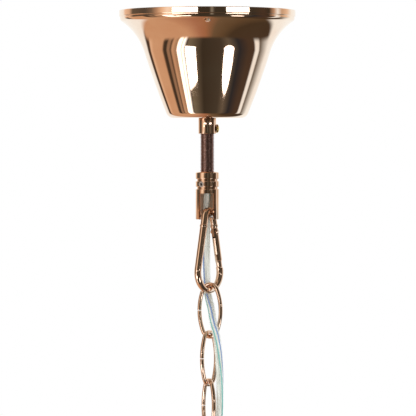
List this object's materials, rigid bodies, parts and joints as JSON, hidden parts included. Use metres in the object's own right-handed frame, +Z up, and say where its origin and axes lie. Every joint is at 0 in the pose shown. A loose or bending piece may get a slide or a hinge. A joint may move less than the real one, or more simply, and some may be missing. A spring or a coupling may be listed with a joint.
{
  "type": "lantern ceiling suspension",
  "caption": "Bell shaped ceiling canopy with a threaded stem, hook coupling, sprung snap hook and oval link chain that carry a hanging lantern, with its clear cable.",
  "frame": {"origin": "on the ceiling plane, on the stem's axis, midway between the strap's two slots", "axes": "+Z up, everything hangs towards -Z; -Y is the front, which the coupling's window faces; +X to the right as seen from the front, where the collar's screw is"},
  "size_m": [0.124, 0.124, 0.344],
  "materials": {
    "rose_copper": "polished",
    "steel": "zinc plated",
    "brass": "polished",
    "clear_nylon": "translucent",
    "white_nylon": "matt",
    "clear_jacket": "clear, glossy",
    "core_brown": "satin",
    "core_blue": "satin",
    "core_green": "satin"
  },
  "bodies": {
    "fixture": {"ceiling_bracket": "steel", "stem": "rose_copper", "stem_top_nut": "steel", "stem_lock_nut": "steel", "lock_washer": "steel", "cord_grip": "clear_nylon", "cord_grip_screw": "clear_nylon", "terminal_housing": "white_nylon", "terminal_sleeves": "brass", "terminal_screws": "steel", "terminal_fixing_screw": "steel", "earth_screw": "brass", "earth_washer": "steel", "earth_nut": "steel", "core_live": "core_brown", "core_neutral": "core_blue", "core_earth": "core_green", "hook_coupling": "rose_copper", "coupling_set_screw": "steel", "cross_pin": "steel", "cable": "clear_jacket"},
    "collar": {"collar": "rose_copper"},
    "canopy": {"canopy": "rose_copper"},
    "collar_screw": {"collar_screw": "brass"},
    "snap_hook": {"carabiner_body": "rose_copper", "gate_rivet": "rose_copper"},
    "gate": {"carabiner_gate": "rose_copper", "gate_latch_pin": "steel", "gate_spring": "steel", "gate_plunger": "steel"},
    "link_1": {"chain_link_1": "rose_copper"},
    "link_2": {"chain_link_2": "rose_copper"},
    "link_3": {"chain_link_3": "rose_copper", "connector_body": "white_nylon", "gland_nut": "clear_nylon", "connector_contacts": "brass"}
  },
  "joints": [
    {"name": "collar_slide", "type": "slide", "parent": "fixture", "child": "collar", "axis": [0, 0, -1], "range_m": [0, 0.026]},
    {"name": "canopy_turn", "type": "hinge", "parent": "collar", "child": "canopy", "pos_m": [0, 0, -0.0756], "axis": [0, 0, 1], "continuous": true},
    {"name": "collar_screw_out", "type": "slide", "parent": "collar", "child": "collar_screw", "axis": [1, 0, 0], "range_m": [0, 0.001]},
    {"name": "hook_swing", "type": "hinge", "parent": "fixture", "child": "snap_hook", "pos_m": [0.0011, -0.003, -0.1438], "axis": [-0.9455, 0.3256, 0], "range_deg": [-2, 45], "deforming": ["cable"]},
    {"name": "gate_open", "type": "hinge", "parent": "snap_hook", "child": "gate", "pos_m": [0.00527, 0.00233, -0.15462], "axis": [-0.788, 0.6157, 0], "range_deg": [0, 28], "stiffness_Nm_per_rad": 0.02, "springref_deg": -20.05},
    {"name": "link_1_swing", "type": "hinge", "parent": "snap_hook", "child": "link_1", "pos_m": [0.0019, -0.0021, -0.1954], "axis": [0.6157, 0.788, 0], "range_deg": [-50, 50], "deforming": ["cable"]},
    {"name": "link_2_swing", "type": "hinge", "parent": "link_1", "child": "link_2", "pos_m": [0.0012, -0.0017, -0.22795], "axis": [0.866, -0.5, 0], "range_deg": [-50, 50], "deforming": ["cable"]},
    {"name": "link_3_swing", "type": "hinge", "parent": "link_2", "child": "link_3", "pos_m": [0.00095, -0.00205, -0.26135], "axis": [0.5736, 0.8192, 0], "range_deg": [-30, 50], "deforming": ["cable"]}
  ]
}
